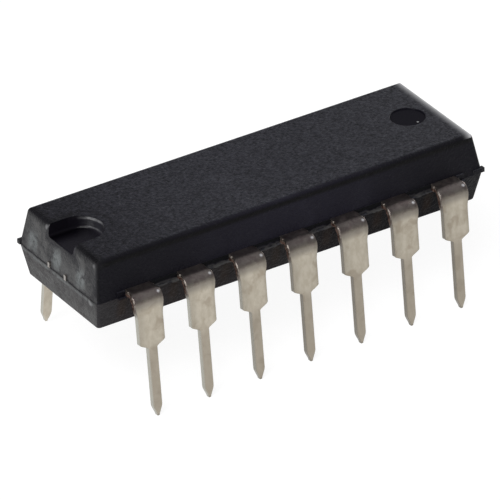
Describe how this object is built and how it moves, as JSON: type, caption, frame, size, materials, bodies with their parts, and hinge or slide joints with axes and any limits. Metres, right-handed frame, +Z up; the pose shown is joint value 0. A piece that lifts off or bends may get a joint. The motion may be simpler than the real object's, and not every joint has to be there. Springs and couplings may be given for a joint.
{
  "type": "dip integrated circuit chip",
  "caption": "Moulded dual in-line integrated circuit: a dark drafted body with an end notch and two rows of bent, tapered leads for a board or socket.",
  "frame": {"origin": "middle of the lead pattern on the seating plane, where the narrow pins begin", "axes": "+X runs along the package away from the notch, +Y points to the row that counts back to the notch, +Z points up from the board"},
  "size_m": [0.0194, 0.0093, 0.0073],
  "materials": {
    "moulding_resin": "fine matt moulded epoxy",
    "tinned_lead": "dull tin plate, slightly warm",
    "lead_frame_alloy": "plated sheet, sheared at the ends",
    "silver_adhesive": "silver filled epoxy",
    "silicon": "polished silicon",
    "gold_wire": "bright gold wire"
  },
  "bodies": {
    "root": {"package_body": "moulding_resin", "lead_1": "tinned_lead", "lead_2": "tinned_lead", "lead_3": "tinned_lead", "lead_4": "tinned_lead", "lead_5": "tinned_lead", "lead_6": "tinned_lead", "lead_7": "tinned_lead", "lead_8": "tinned_lead", "lead_9": "tinned_lead", "lead_10": "tinned_lead", "lead_11": "tinned_lead", "lead_12": "tinned_lead", "lead_13": "tinned_lead", "lead_14": "tinned_lead", "die_paddle": "lead_frame_alloy", "die_attach": "silver_adhesive", "die": "silicon", "bond_wire_1": "gold_wire", "bond_wire_2": "gold_wire", "bond_wire_3": "gold_wire", "bond_wire_4": "gold_wire", "bond_wire_5": "gold_wire", "bond_wire_6": "gold_wire", "bond_wire_7": "gold_wire", "bond_wire_8": "gold_wire", "bond_wire_9": "gold_wire", "bond_wire_10": "gold_wire", "bond_wire_11": "gold_wire", "bond_wire_12": "gold_wire", "bond_wire_13": "gold_wire", "bond_wire_14": "gold_wire"}
  },
  "joints": []
}
